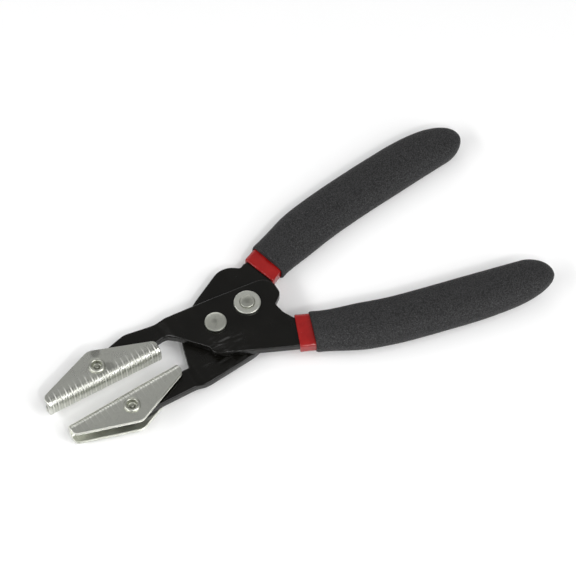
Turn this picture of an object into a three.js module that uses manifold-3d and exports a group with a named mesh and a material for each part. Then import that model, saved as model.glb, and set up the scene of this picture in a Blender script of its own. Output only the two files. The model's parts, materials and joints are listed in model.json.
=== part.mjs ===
// Swivel-jaw parallel pliers: two stamped levers, a pivot rivet, a guide rivet in an arc slot,
// two folded U-channel jaws and two sleeved handles. Millimetres, +Z up, jaw line along X.
import * as THREE from 'three';
import Module from 'manifold-3d';
import { mergeVertices } from 'three/addons/utils/BufferGeometryUtils.js';

const wasm = await Module();
wasm.setup();

// ---- driving dimensions ----
const PLATE = 3.5;                    // lever sheet thickness
const PLATE_GAP = 0.3;                // running gap between the two levers
const LEVEL = (PLATE + PLATE_GAP) / 2; // height of a lever's mid-plane above the tool's mid-plane
const ARM_RAMP = [-22, -17.6];        // joggle that brings each jaw arm to the mid-plane
const PIVOT_R = 3.4;
const PIVOT_HEAD_R = 4.85;
const GUIDE = [16.8, 1.7];            // guide rivet, measured from the pivot
const GUIDE_R = 3.0;
const CLEAR = 0.08;                   // radial running clearance of every rivet
const WASHER = 1.1;                   // washer thickness
const STACK = 0.05;                   // gap between stacked faces
const CLOSE_ANGLE = 9.9;              // degrees the back lever turns until the jaws meet
const JAW_PIN = { upper: [-54.3, 6.9], lower: [-50.65, -17.5] };
const JAW_ANGLE = { upper: -0.2, lower: 3.0 };
const JAW_H = 9.4;                    // outside height of the folded channel
const JAW_SHEET = 2.0;
const JAW_BEND = 3.2;                 // outside bend radius
const JAW_FACE = 7.5;                 // rivet centre to gripping face
const JAW_ENDS = [-26.7, 27.4];
const JAW_APEX = 8.5;
const RIB_PITCH = 2.5;
const RIB_DEPTH = 0.15;
const EYELET_R = 2.4;
const ARM_END_R = 4.8;
const LINER_WALL = 1.15;
const LINER_GAP = 0.1;
const GRIP_HALF_W = 10.95;
const GRIP_HALF_H = 6.0;

// ---- solids ----
function solid(geometry) {
  const g = geometry.index ? geometry : mergeVertices(geometry);
  g.deleteAttribute('normal');
  g.deleteAttribute('uv');
  const merged = mergeVertices(g, 1e-5);
  return new wasm.Manifold(new wasm.Mesh({
    numProp: 3,
    vertProperties: new Float32Array(merged.attributes.position.array),
    triVerts: new Uint32Array(merged.index.array),
  }));
}

function piece(name, manifold, colour, roughness, metalness) {
  const mesh = manifold.getMesh();
  const geometry = new THREE.BufferGeometry();
  const position = new THREE.BufferAttribute(new Float32Array(mesh.vertProperties), 3);
  geometry.setAttribute('position', position);
  geometry.setIndex(new THREE.BufferAttribute(new Uint32Array(mesh.triVerts), 1));
  geometry.computeVertexNormals();
  const material = new THREE.MeshStandardMaterial({ color: colour, roughness, metalness });
  const body = new THREE.Mesh(geometry, material);
  body.name = name;
  return body;
}

// Closed outline from corners [x, y, radius]; a radius of 0 leaves the corner sharp.
function outline(corners) {
  const shape = new THREE.Shape();
  const count = corners.length;
  corners.forEach(([x, y, radius], i) => {
    const at = new THREE.Vector2(x, y);
    const before = new THREE.Vector2(...corners[(i + count - 1) % count]).sub(at).normalize();
    const after = new THREE.Vector2(...corners[(i + 1) % count]).sub(at).normalize();
    if (!radius) {
      i ? shape.lineTo(x, y) : shape.moveTo(x, y);
      return;
    }
    const half = Math.acos(before.dot(after)) / 2;
    const reach = radius / Math.tan(half);
    const start = at.clone().addScaledVector(before, reach);
    const end = at.clone().addScaledVector(after, reach);
    const middle = before.clone().add(after).normalize();
    const centre = at.clone().addScaledVector(middle, radius / Math.sin(half));
    const a0 = Math.atan2(start.y - centre.y, start.x - centre.x);
    const a1 = Math.atan2(end.y - centre.y, end.x - centre.x);
    const clockwise = before.cross(after) > 0;
    i ? shape.lineTo(start.x, start.y) : shape.moveTo(start.x, start.y);
    shape.absarc(centre.x, centre.y, radius, a0, a1, clockwise);
  });
  return shape;
}

function prism(shape, z0, z1, curveSegments = 8) {
  const geometry = new THREE.ExtrudeGeometry(shape, {
    depth: z1 - z0, bevelEnabled: false, curveSegments,
  });
  geometry.translate(0, 0, z0);
  return solid(geometry);
}

// Sweep an outline drawn in (a, z) along Y, with a measured along X.
function prismAlongY(shape, y0, y1, curveSegments = 4) {
  const geometry = new THREE.ExtrudeGeometry(shape, {
    depth: y1 - y0, bevelEnabled: false, curveSegments,
  });
  geometry.rotateX(Math.PI / 2);
  geometry.translate(0, y1, 0);
  return solid(geometry);
}

function turned(profile, x, y, segments = 40) {
  const points = profile.map(([r, z]) => new THREE.Vector2(r, z));
  const geometry = new THREE.LatheGeometry(points, segments);
  geometry.rotateX(Math.PI / 2);
  geometry.translate(x, y, 0);
  return solid(geometry);
}

function pin(radius, x, y, z0, z1) {
  return turned([[0, z0], [radius, z0], [radius, z1], [0, z1], [0, z0]], x, y);
}

function washer(inner, outer, x, y, z0, z1, edge = 0.15) {
  return turned([
    [inner, z0], [outer - edge, z0], [outer, z0 + edge],
    [outer, z1 - edge], [outer - edge, z1], [inner, z1], [inner, z0],
  ], x, y);
}

// ---- handles: one centre-line each, shared by tang, liner and grip ----
// Lengths along the line: sleeve and rim are where the red sleeve and the grip begin. The nose is
// how far the grip tapers on its outer side, and tip how far its end sits inboard of the line.
const HANDLE = {
  front: {
    z: LEVEL,
    side: 1,
    lean: 0.045,
    sleeve: 0.3,
    rim: 6.95,
    rimHalf: 9.35,
    nose: 46,
    tip: 1.7,
    line: [[27.7, -21.5], [34.2, -24.45], [42.9, -28.5], [52.2, -32.3], [67.8, -37.5],
      [108, -46.8], [140.0, -54.3]],
  },
  back: {
    z: -LEVEL,
    side: -1,
    lean: 0.16,
    sleeve: 1.0,
    rim: 7.5,
    rimHalf: 9.6,
    nose: 36,
    tip: 2.6,
    line: [[29.8, 15.05], [36.8, 18.25], [47.6, 21.7], [61.5, 25.5], [80, 28.7],
      [111.6, 32.4], [146.9, 36.2]],
  },
};

function centreLine(handle) {
  const points = handle.line.map(([x, y]) => new THREE.Vector3(x, y, handle.z));
  return new THREE.CatmullRomCurve3(points, false, 'centripetal');
}

// Closed skin through rings of superellipse sections set square to the centre-line.
function loft(handle, stations, sectionAt, around = 36) {
  const curve = centreLine(handle);
  const length = curve.getLength();
  const vertices = [];
  const triangles = [];
  stations.forEach((s) => {
    const at = curve.getPointAt(s / length);
    const along = curve.getTangentAt(s / length);
    const across = new THREE.Vector2(-along.y, along.x).multiplyScalar(handle.side);
    const lean = -handle.lean * Math.max(0, 1 - s / 30);
    const { shift = 0, wide, high, power } = sectionAt(s, length);
    for (let k = 0; k < around; k += 1) {
      const angle = ((k + 0.5) / around) * 2 * Math.PI;
      const c = Math.cos(angle);
      const n = Math.sin(angle);
      const tall = Math.sign(n) * Math.abs(n) ** (2 / power);
      const reach = shift + wide * Math.sign(c) * Math.abs(c) ** (2 / power);
      const slip = reach * lean;
      const x = at.x + across.x * reach + along.x * slip;
      const y = at.y + across.y * reach + along.y * slip;
      vertices.push(x, y, at.z + tall * high);
    }
  });
  const last = stations.length - 1;
  for (let i = 0; i < last; i += 1) {
    for (let k = 0; k < around; k += 1) {
      const a = i * around + k;
      const b = i * around + ((k + 1) % around);
      triangles.push(a, b, a + around, b, b + around, a + around);
    }
  }
  for (let k = 1; k < around - 1; k += 1) {
    triangles.push(0, k + 1, k);
    triangles.push(last * around, last * around + k, last * around + k + 1);
  }
  if (handle.side < 0) {
    for (let t = 0; t < triangles.length; t += 3) {
      [triangles[t + 1], triangles[t + 2]] = [triangles[t + 2], triangles[t + 1]];
    }
  }
  const geometry = new THREE.BufferGeometry();
  geometry.setAttribute('position', new THREE.Float32BufferAttribute(vertices, 3));
  geometry.setIndex(triangles);
  return solid(geometry);
}

const TANG_END = 88;
const LINER_END = 92;

const tangHalf = (s) => 7.1 - 1.6 * Math.min(1, Math.max(0, (s - 10) / 70));

// Plan of the flat tang that runs inside the grip, widened by extra all round.
function tang(handle, extra = 0) {
  const curve = centreLine(handle);
  const length = curve.getLength();
  const near = [];
  const far = [];
  for (let s = 0; s <= TANG_END; s += 8) {
    const along = curve.getTangentAt(s / length);
    const end = s + 8 > TANG_END;
    const at = curve.getPointAt(s / length).addScaledVector(along, end ? extra : 0);
    const half = tangHalf(s) + extra;
    near.push([at.x + along.y * half, at.y - along.x * half, end ? 3 : 0]);
    far.unshift([at.x - along.y * half, at.y + along.x * half, end ? 3 : 0]);
  }
  return outline([...near, ...far]);
}

function boxSection(extra) {
  return (s) => ({
    wide: tangHalf(s) + extra,
    high: PLATE / 2 + extra,
    power: 9,
  });
}

const spread = (from, to, count) => Array.from({ length: count + 1 },
  (_, i) => from + ((to - from) * i) / count);

function linerOuter(handle, extra, from) {
  const stations = spread(from, LINER_END + extra, 9);
  return loft(handle, stations, boxSection(LINER_WALL + extra), 28);
}

function liner(name, handle) {
  const skin = linerOuter(handle, 0, handle.sleeve);
  const reach = PLATE / 2 + LINER_GAP;
  const hollow = prism(tang(handle, LINER_GAP), handle.z - reach, handle.z + reach);
  return piece(name, skin.subtract(hollow), 0x9e2626, 0.45, 0);
}

// The grip swells from its rim to full width, then closes in a nose whose tip sits inboard.
function gripSection(handle) {
  return (s, length) => {
    const swell = Math.min(1, Math.max(0, (s - handle.rim - 1) / 24));
    const ease = swell * swell * (3 - 2 * swell);
    const rim = Math.max(0, 1 - (s - handle.rim) / 1.2);
    const left = Math.max(0.01, length - s);
    const close = (reach, power) => Math.sqrt(1 - Math.max(0, 1 - left / reach) ** power);
    const half = handle.rimHalf + (GRIP_HALF_W - handle.rimHalf) * ease - 0.6 * rim * rim;
    const inner = handle.tip + (half - handle.tip) * close(12, 1.7);
    const outer = -handle.tip + (half + handle.tip) * close(handle.nose, 2.2);
    return {
      shift: (inner - outer) / 2,
      wide: (inner + outer) / 2,
      high: (5.5 + (GRIP_HALF_H - 5.5) * ease - 0.5 * rim * rim) * close(17, 2.2),
      power: 2.5,
    };
  };
}

function grip(name, handle) {
  const length = centreLine(handle).getLength();
  const stations = [
    handle.rim, handle.rim + 0.4, handle.rim + 1.2,
    ...spread(handle.rim + 6, handle.rim + 26, 3), ...spread(handle.rim + 38, length - 30, 3),
    length - 23, length - 17, length - 12, length - 8, length - 5, length - 2.8,
    length - 1.3, length - 0.4, length,
  ];
  const skin = loft(handle, stations, gripSection(handle));
  const core = linerOuter(handle, LINER_GAP, handle.sleeve);
  return piece(name, skin.subtract(core), 0x34343a, 0.85, 0);
}

// ---- levers ----
// Both are drawn in plan, cut from a sheet that steps down to the mid-plane at the jaw arm.
function steppedSheet() {
  const [x0, x1] = ARM_RAMP;
  const bottom = (shift) => [
    [-90, shift, 0], [x0, shift, 4], [x1, LEVEL + shift, 4], [160, LEVEL + shift, 0],
  ];
  const lower = bottom(-PLATE / 2);
  const upper = bottom(PLATE / 2).reverse();
  return prismAlongY(outline([...lower, ...upper]), -80, 80);
}

function lever(name, handle, corners, holes, flip) {
  const plan = prism(outline(corners), -20, 20).add(prism(tang(handle), -20, 20));
  const sheet = flip ? steppedSheet().rotate([180, 0, 0]) : steppedSheet();
  let body = plan.intersect(sheet);
  holes.forEach((hole) => {
    body = body.subtract(hole);
  });
  return piece(name, body, 0x14120f, 0.22, 0.3);
}

const [upX, upY] = JAW_PIN.upper;
const [loX, loY] = JAW_PIN.lower;

const frontCorners = [
  [upX, upY - ARM_END_R, 4], [-36, 4.2, 20], [-21.4, 6.4, 3.2], [-8.2, -9.0, 3],
  [-8.3, -12.8, 3.5], [23.4, -27.5, 0], [29, -22, 0], [30.45, -14.6, 0], [27.9, -9.7, 9],
  [27.2, -4.6, 1.2], [32.1, -0.9, 4], [32.0, 9.2, 6.5], [4, 12.1, 30], [-24.6, 14.3, 18],
  [-36.5, 16.4, 8], [upX + 4, upY + ARM_END_R + 1.2, 6], [upX - ARM_END_R, upY + 2.5, 3.4],
  [upX - ARM_END_R, upY - ARM_END_R, 4.3],
];

const backCorners = [
  [loX - ARM_END_R, loY - ARM_END_R, 4.4], [-37, -21.9, 20], [-15.2, -22.2, 10],
  [10.5, -19.9, 14], [24.5, -9.5, 12], [28.3, 4.2, 3], [32.0, 6.8, 0], [29.5, 15, 0],
  [26.8, 22.3, 0], [24.6, 21.2, 1.2], [17.8, 26.3, 9.5], [-4.1, 14.7, 20],
  [-16.2, 1.4, 6], [-20.2, -12.1, 1.4], [-32, -12.6, 20], [loX + 3, loY + ARM_END_R, 3],
  [loX - ARM_END_R, loY + ARM_END_R, 4.6],
];

// Arc slot about the pivot that the guide rivet runs in.
function guideSlot() {
  const radius = Math.hypot(...GUIDE);
  const start = Math.atan2(GUIDE[1], GUIDE[0]);
  const turn = THREE.MathUtils.degToRad(CLOSE_ANGLE + 0.6);
  const a0 = start - THREE.MathUtils.degToRad(0.6);
  const a1 = start + turn;
  const half = GUIDE_R + CLEAR;
  const shape = new THREE.Shape();
  const polar = (r, a) => [r * Math.cos(a), r * Math.sin(a)];
  shape.moveTo(...polar(radius + half, a0));
  shape.absarc(0, 0, radius + half, a0, a1, false);
  shape.absarc(...polar(radius, a1), half, a1, a1 + Math.PI, false);
  shape.absarc(0, 0, radius - half, a1, a0, true);
  shape.absarc(...polar(radius, a0), half, a0 + Math.PI, a0 + 2 * Math.PI, false);
  return prism(shape, -20, 20, 12);
}

const bore = (radius, x, y) => pin(radius + CLEAR, x, y, -20, 20);

const frontLever = lever('front_lever', HANDLE.front, frontCorners, [
  bore(PIVOT_R, 0, 0), bore(GUIDE_R, ...GUIDE), bore(EYELET_R, upX, upY),
], false);

const backLever = lever('back_lever', HANDLE.back, backCorners, [
  bore(PIVOT_R, 0, 0), guideSlot(), bore(EYELET_R, loX, loY),
], true);

// ---- pivot and guide hardware ----
const FACE = PLATE + PLATE_GAP / 2;   // outer face of each lever at the pivot
const headZ = FACE + STACK;
const rearZ = -(FACE + 2 * STACK + WASHER);

function dome(radius, z0, rise, crown) {
  return [[radius - 0.3, z0], [radius, z0 + 0.35], [radius, z0 + rise * 0.55],
    [radius * 0.93, z0 + rise * 0.85], [radius * 0.78, z0 + rise], [0, z0 + rise + crown]];
}

function mirrored(profile) {
  return profile.map(([r, z]) => [r, -z]).reverse();
}

const pivotRivet = turned([
  ...mirrored(dome(4.5, -rearZ, 1.4, 0)), [PIVOT_R, rearZ], [PIVOT_R, headZ],
  ...dome(PIVOT_HEAD_R, headZ, 1.55, 0.25), [0, rearZ - 1.4],
], 0, 0);

const guideTop = headZ + WASHER + 0.2;
const guideRivet = turned([
  ...mirrored(dome(4.5, -rearZ, 1.4, 0)), [GUIDE_R, rearZ], [GUIDE_R, guideTop],
  [GUIDE_R + 0.15, guideTop + 0.1], [GUIDE_R + 0.15, guideTop + 0.6],
  [GUIDE_R - 0.5, guideTop + 1.0], [0, guideTop + 1.15], [0, rearZ - 1.4],
], ...GUIDE);

// ---- jaws, drawn about their rivet with the gripping face on -Y ----
function channelProfile(face, height, bend, back) {
  return outline([
    [back, -height / 2, 0], [back, height / 2, 0], [-face, height / 2, bend],
    [-face, -height / 2, bend],
  ]);
}

function alongX(shape, x0, x1, curveSegments = 5) {
  const geometry = new THREE.ExtrudeGeometry(shape, {
    depth: x1 - x0, bevelEnabled: false, curveSegments,
  });
  geometry.rotateX(Math.PI / 2);
  geometry.rotateZ(Math.PI / 2);
  geometry.translate(x0, 0, 0);
  return solid(geometry);
}

function jawBlank() {
  const [x0, x1] = JAW_ENDS;
  const inner = JAW_H - 2 * JAW_SHEET;
  const outside = alongX(channelProfile(JAW_FACE, JAW_H, JAW_BEND, 15), x0 - 1, x1 + 1, 3);
  const inside = alongX(
    channelProfile(JAW_FACE - JAW_SHEET, inner, JAW_BEND - JAW_SHEET, 16), x0 - 2, x1 + 2, 3);
  const plan = prism(outline([
    [x0, -JAW_FACE - 1, 0], [x1, -JAW_FACE - 1, 0], [x1, -1.7, 2.9], [0, JAW_APEX, 4.5],
    [x0, -1.9, 2.9],
  ]), -20, 20, 6);
  let jaw = outside.subtract(inside).intersect(plan);
  const floor = channelProfile(JAW_FACE - RIB_DEPTH, JAW_H, JAW_BEND + RIB_DEPTH, 16);
  const count = Math.floor((x1 - x0 - 2) / RIB_PITCH);
  const first = (x0 + x1 - (count - 1) * RIB_PITCH) / 2;
  for (let i = 0; i < count; i += 1) {
    const x = first + i * RIB_PITCH;
    const slab = solid(new THREE.BoxGeometry(RIB_PITCH / 2, 12, 20));
    const cutter = slab.translate([x, -JAW_FACE, 0]).subtract(alongX(floor, x - 2, x + 2, 3));
    jaw = jaw.subtract(cutter);
  }
  return jaw.subtract(bore(EYELET_R - 0.03, 0, 0));
}

// Tubular rivet: solid head below, rolled rim round a blind hollow above.
function eyelet() {
  const top = JAW_H / 2 + STACK;
  return turned([
    [0, -top - 0.9], [3.2, -top - 0.9], [3.6, -top - 0.5], [3.6, -top], [EYELET_R, -top],
    [EYELET_R, top], [3.45, top], [3.55, top + 0.35], [3.3, top + 0.75], [2.9, top + 0.85],
    [2.3, top + 0.7], [1.9, top + 0.2], [1.8, top - 2.6], [0, top - 2.8], [0, -top - 0.9],
  ], 0, 0);
}

const SPACER = (JAW_H - 2 * JAW_SHEET - PLATE) / 2 - 2 * STACK;

function spacer(sign) {
  const near = PLATE / 2 + STACK;
  const [z0, z1] = sign > 0 ? [near, near + SPACER] : [-near - SPACER, -near];
  const inner = EYELET_R + CLEAR;
  return turned([[inner, z0], [3.9, z0], [3.9, z1], [inner, z1], [inner, z0]], 0, 0, 32);
}

function placed(manifold, which, halfTurn = 0) {
  return manifold.rotate([0, 0, JAW_ANGLE[which] + halfTurn]).translate([...JAW_PIN[which], 0]);
}

function jawSet(which) {
  const nickel = [0x8f9286, 0.32, 0.9];
  return [
    piece(`jaw_${which}`, placed(jawBlank(), which, which === 'lower' ? 180 : 0), ...nickel),
    piece(`jaw_rivet_${which}`, placed(eyelet(), which), 0xa2a49a, 0.25, 0.95),
    piece(`spacer_top_${which}`, placed(spacer(1), which), 0x8a8c86, 0.4, 0.9),
    piece(`spacer_bottom_${which}`, placed(spacer(-1), which), 0x8a8c86, 0.4, 0.9),
  ];
}

// ---- assembly ----
const tool = new THREE.Group();
tool.name = 'swivel_jaw_pliers';
tool.add(
  frontLever,
  backLever,
  piece('pivot_rivet', pivotRivet, 0x9a9b90, 0.3, 0.9),
  piece('pivot_washer_rear', washer(PIVOT_R + CLEAR, 6.0, 0, 0, -headZ - WASHER, -headZ),
    0x8a8c86, 0.4, 0.9),
  piece('guide_rivet', guideRivet, 0x9a9b90, 0.3, 0.9),
  piece('guide_washer_front', washer(GUIDE_R + CLEAR, 5.9, ...GUIDE, headZ, headZ + WASHER),
    0x9a9b90, 0.3, 0.9),
  piece('guide_washer_rear', washer(GUIDE_R + CLEAR, 6.2, ...GUIDE, -headZ - WASHER, -headZ),
    0x8a8c86, 0.4, 0.9),
  ...jawSet('upper'),
  ...jawSet('lower'),
  liner('liner_front', HANDLE.front),
  liner('liner_back', HANDLE.back),
  grip('grip_front', HANDLE.front),
  grip('grip_back', HANDLE.back),
);

// Stand the tool on the floor, centred over the origin.
const box = new THREE.Box3().setFromObject(tool);
const middle = box.getCenter(new THREE.Vector3());
tool.children.forEach((body) => {
  body.geometry.translate(-middle.x, -middle.y, -box.min.z);
});

export default tool;
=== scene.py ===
"""Swivel-jaw parallel pliers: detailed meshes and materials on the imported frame.

Shapes are drawn in millimetres in the pivot frame: origin at the pivot rivet, +X towards the handles,
+Z towards the front lever. ORIGIN carries them into the row frame.
"""

import json
import math

import bmesh
import bpy
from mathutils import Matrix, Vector, noise
from mathutils.geometry import tessellate_polygon


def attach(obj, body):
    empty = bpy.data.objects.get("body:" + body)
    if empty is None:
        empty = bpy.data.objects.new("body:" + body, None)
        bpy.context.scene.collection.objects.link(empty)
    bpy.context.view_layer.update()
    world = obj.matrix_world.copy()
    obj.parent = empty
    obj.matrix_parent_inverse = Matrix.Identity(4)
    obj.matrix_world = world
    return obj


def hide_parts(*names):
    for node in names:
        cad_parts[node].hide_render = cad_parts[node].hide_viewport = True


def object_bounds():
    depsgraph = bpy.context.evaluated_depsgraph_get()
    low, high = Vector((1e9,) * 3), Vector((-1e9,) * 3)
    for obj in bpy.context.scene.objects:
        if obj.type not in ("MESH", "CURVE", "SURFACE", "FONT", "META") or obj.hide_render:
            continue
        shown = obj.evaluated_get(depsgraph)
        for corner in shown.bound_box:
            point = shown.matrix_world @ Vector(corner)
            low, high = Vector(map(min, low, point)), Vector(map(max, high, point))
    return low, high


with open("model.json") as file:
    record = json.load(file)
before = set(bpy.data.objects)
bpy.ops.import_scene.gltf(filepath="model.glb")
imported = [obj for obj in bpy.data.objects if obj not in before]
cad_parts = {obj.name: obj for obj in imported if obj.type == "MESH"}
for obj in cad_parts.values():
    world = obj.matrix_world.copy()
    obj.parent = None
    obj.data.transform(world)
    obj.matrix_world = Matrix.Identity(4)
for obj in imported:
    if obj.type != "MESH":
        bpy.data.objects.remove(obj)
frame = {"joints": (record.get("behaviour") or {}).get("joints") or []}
cad_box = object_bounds()

MM = 0.001
JOINTS = {j["name"]: Vector(j["pos_m"]) for j in frame["joints"]}
ORIGIN = JOINTS["handle_hinge"]
PIN = {jaw: (JOINTS[jaw + "_jaw_swivel"] - ORIGIN) / MM for jaw in ("upper", "lower")}

# Room round a pin, and between faces stacked on it.
CLEAR = 0.08
STACK = 0.05

# Levers: two stamped sheets. Each steps to mid-plane over the ramp behind its jaw, where the mesh is cut
# across in RAMP_CUTS places. The back lever turns by CLOSE_ANGLE degrees, from open to closed.
PLATE = 3.5
PLATE_GAP = 0.3
LEVEL = (PLATE + PLATE_GAP) / 2
FACE = PLATE + PLATE_GAP / 2
ARM_RAMP = (-22.0, -17.6)
RAMP_BLEND = 0.85
RAMP_MARGIN = 1.2
RAMP_STEP = 0.34
RAMP_CUTS = 21
ARM_END_R = 4.8
CLOSE_ANGLE = 9.9

# Pivot rivet, guide rivet and washers. The guide's slot has SLOT_SPARE degrees to spare at each end.
PIVOT_R = 3.4
PIVOT_HEAD_R = 4.85
GUIDE = (16.8, 1.7)
GUIDE_R = 3.0
SLOT_SPARE = 0.6
WASHER = 1.1
HEAD_Z = FACE + STACK
REAR_Z = -(FACE + 2 * STACK + WASHER)

# Jaws: the same folded channel twice, the lower one turned half round. Y runs from the face to the flange
# edge, with the rivet at zero. RIB_SHARE is how deep a jaw's ribs are drawn (on the bend, up the flange).
JAW_TURN = {"upper": math.radians(-0.2), "lower": math.radians(183.0)}
JAW_H = 9.4
JAW_SHEET = 2.0
JAW_BEND = 3.2
JAW_FACE = 7.5
JAW_ENDS = (-26.7, 27.4)
JAW_APEX = 8.5
JAW_EDGE = 0.42
JAW_END_ROUND = 0.6
FLANGE_CUTS = 12
BEND_CUTS = 9
RIB_PITCH = 2.5
RIB_HEIGHT = 0.2
LONG_RIB_WIDTH = 0.36
SHORT_RIB_WIDTH = 0.26
SHORT_RIB_SHARE = 0.8
RIB_SHARE = {"upper": (1.0, 0.8), "lower": (0.55, 0.25)}
EYELET_R = 2.4
EYELET_HEAD_R = 3.62
SPACER_R = 3.9

# Handles: flat tang, dipped liner and foam grip.
TANG_HALF = 7.1
TANG_TAPER = 1.6
TANG_CORNER_R = 3
TANG_END = 88.0
LINER_WALL = 1.15
LINER_GAP = 0.1
LINER_END = 92.0
GRIP_HALF_W = 10.95
GRIP_HALF_H = 6.0
GRIP_RIM_HALF_H = 5.5


def clamp(value, low=0.0, high=1.0):
    return min(high, max(low, value))


def ease(t):
    """Smooth step from 0 to 1 as t goes from 0 to 1."""
    t = clamp(t)
    return t * t * (3 - 2 * t)


def round_drop(d, reach, depth):
    """How far an edge that is rounded over a reach falls back, at distance d from its end."""
    t = clamp(1 - d / reach)
    return depth * (1 - math.sqrt(1 - t * t))


# ---------------------------------------------------------------- outlines and curves
def outline(corners, step=7.0):
    """Closed outline from corners (x, y, radius), each arc cut into steps of about that many degrees."""
    points = []
    count = len(corners)
    for i, (x, y, radius) in enumerate(corners):
        at = Vector((x, y))
        before = (Vector(corners[i - 1][:2]) - at).normalized()
        after = (Vector(corners[(i + 1) % count][:2]) - at).normalized()
        if not radius:
            points.append(at)
            continue
        half = math.acos(clamp(before.dot(after), -1, 1)) / 2
        reach = radius / math.tan(half)
        start = at + before * reach
        centre = at + (before + after).normalized() * (radius / math.sin(half))
        sweep = math.pi - 2 * half
        if before.x * after.y - before.y * after.x > 0:
            sweep = -sweep
        cuts = max(1, round(abs(math.degrees(sweep)) / step))
        arm = start - centre
        for k in range(cuts + 1):
            c, s = math.cos(sweep * k / cuts), math.sin(sweep * k / cuts)
            points.append(centre + Vector((arm.x * c - arm.y * s, arm.x * s + arm.y * c)))
    return points


def circle(radius, x, y, count=48):
    """Points round a circle, anticlockwise."""
    angles = [2 * math.pi * k / count for k in range(count)]
    return [Vector((x + radius * math.cos(a), y + radius * math.sin(a))) for a in angles]


def arc(centre, radius, start, stop, cuts=16):
    """Points on an arc from one angle to another, both ends included."""
    angles = [start + (stop - start) * k / cuts for k in range(cuts + 1)]
    return [centre + Vector((math.cos(a), math.sin(a))) * radius for a in angles]


class Line:
    """Centripetal spline through points, read by length along it."""

    CUTS = 60

    def __init__(self, points):
        pts = [Vector(p) for p in points]
        dense = []
        for i in range(len(pts) - 1):
            p1, p2 = pts[i], pts[i + 1]
            p0 = pts[i - 1] if i else 2 * p1 - p2
            p3 = pts[i + 2] if i + 2 < len(pts) else 2 * p2 - p1
            d0, d1, d2 = (math.sqrt((b - a).length) for a, b in ((p0, p1), (p1, p2), (p2, p3)))
            m1 = ((p1 - p0) / d0 - (p2 - p0) / (d0 + d1) + (p2 - p1) / d1) * d1
            m2 = ((p2 - p1) / d1 - (p3 - p1) / (d1 + d2) + (p3 - p2) / d2) * d1
            for k in range(self.CUTS):
                t = k / self.CUTS
                a = 2 * t ** 3 - 3 * t ** 2 + 1
                b = t ** 3 - 2 * t ** 2 + t
                c = 3 * t ** 2 - 2 * t ** 3
                d = t ** 3 - t ** 2
                dense.append(a * p1 + b * m1 + c * p2 + d * m2)
        dense.append(pts[-1])
        self.points = dense
        self.reach = [0.0]
        for a, b in zip(dense, dense[1:]):
            self.reach.append(self.reach[-1] + (b - a).length)
        self.length = self.reach[-1]

    def at(self, s):
        """(point, unit direction) at length s."""
        s = clamp(s, 0, self.length)
        low, high = 0, len(self.reach) - 2
        while low < high:
            middle = (low + high + 1) // 2
            if self.reach[middle] <= s:
                low = middle
            else:
                high = middle - 1
        a, b = self.points[low], self.points[low + 1]
        t = (s - self.reach[low]) / (self.reach[low + 1] - self.reach[low])
        i0, i1 = max(0, low - 2), min(len(self.points) - 1, low + 3)
        return a.lerp(b, t), (self.points[i1] - self.points[i0]).normalized()


# ---------------------------------------------------------------- mesh building
def finish_mesh(bm, name, body, material, node, sharp=35, weighted=True):
    """Moves a pivot-frame millimetre mesh into the row frame and puts it in the assembly."""
    bmesh.ops.recalc_face_normals(bm, faces=bm.faces)
    for v in bm.verts:
        v.co = ORIGIN + v.co * MM
    mesh = bpy.data.meshes.new(name)
    bm.to_mesh(mesh)
    bm.free()
    for face in mesh.polygons:
        face.use_smooth = True
    mesh.set_sharp_from_angle(angle=math.radians(sharp))
    piece = bpy.data.objects.new(name, mesh)
    bpy.context.scene.collection.objects.link(piece)
    piece.data.materials.append(material)
    if weighted:
        normals = piece.modifiers.new("flat_faces", "WEIGHTED_NORMAL")
        normals.keep_sharp = True
        normals.weight = 60
    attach(piece, body)
    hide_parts(node)


def ring_faces(bm, a, b, closed=True):
    """Faces between two rows of vertices of equal count."""
    count = len(a)
    for k in range(count if closed else count - 1):
        n = (k + 1) % count
        bm.faces.new((a[k], a[n], b[n], b[k]))


def fan(bm, row, hub):
    """Triangles from a closed row of vertices to one vertex."""
    for k, v in enumerate(row):
        bm.faces.new((v, row[(k + 1) % len(row)], hub))


def chain(rings):
    """Closed skin through rings of equal count, each a list of points, with a cap on both end rings."""
    bm = bmesh.new()
    rows = [[bm.verts.new(p) for p in ring] for ring in rings]
    for a, b in zip(rows, rows[1:]):
        ring_faces(bm, a, b)
    for row in (rows[0], rows[-1]):
        fan(bm, row, bm.verts.new(sum((v.co for v in row), Vector()) / len(row)))
    return bm


def turned(corners, x, y, segments=72, step=15.0):
    """Solid of revolution about a Z axis at x, y, from a closed (radius, z, corner radius) profile."""
    bm = bmesh.new()
    rows = []
    for r, z in outline(corners, step):
        if r < 1e-6:
            rows.append(bm.verts.new((x, y, z)))
            continue
        rows.append([bm.verts.new((p.x, p.y, z)) for p in circle(r, x, y, segments)])
    for a, b in zip(rows, rows[1:] + rows[:1]):
        hub_a, hub_b = isinstance(a, bmesh.types.BMVert), isinstance(b, bmesh.types.BMVert)
        if hub_a and hub_b:
            continue
        if not hub_a and not hub_b:
            ring_faces(bm, a, b)
            continue
        hub, row = (a, b) if hub_a else (b, a)
        fan(bm, row, hub)
    return bm


def inset(loop, amount):
    """Loop moved towards its own left side, which is inside for an anticlockwise one."""
    moved = []
    count = len(loop)
    for i, p in enumerate(loop):
        e0 = (p - loop[i - 1]).normalized()
        e1 = (loop[(i + 1) % count] - p).normalized()
        n0, n1 = Vector((-e0.y, e0.x)), Vector((-e1.y, e1.x))
        moved.append(p + (n0 + n1) * (amount / max(0.35, 1 + n0.dot(n1))))
    return moved


def tidy_loop(loop, anticlockwise):
    """Drops doubled points and sets the direction."""
    kept = [p for i, p in enumerate(loop) if (p - loop[i - 1]).length > 1e-3]
    area = sum(a.x * b.y - a.y * b.x for a, b in zip(kept, kept[1:] + kept[:1]))
    return kept if (area > 0) == anticlockwise else kept[::-1]


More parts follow.
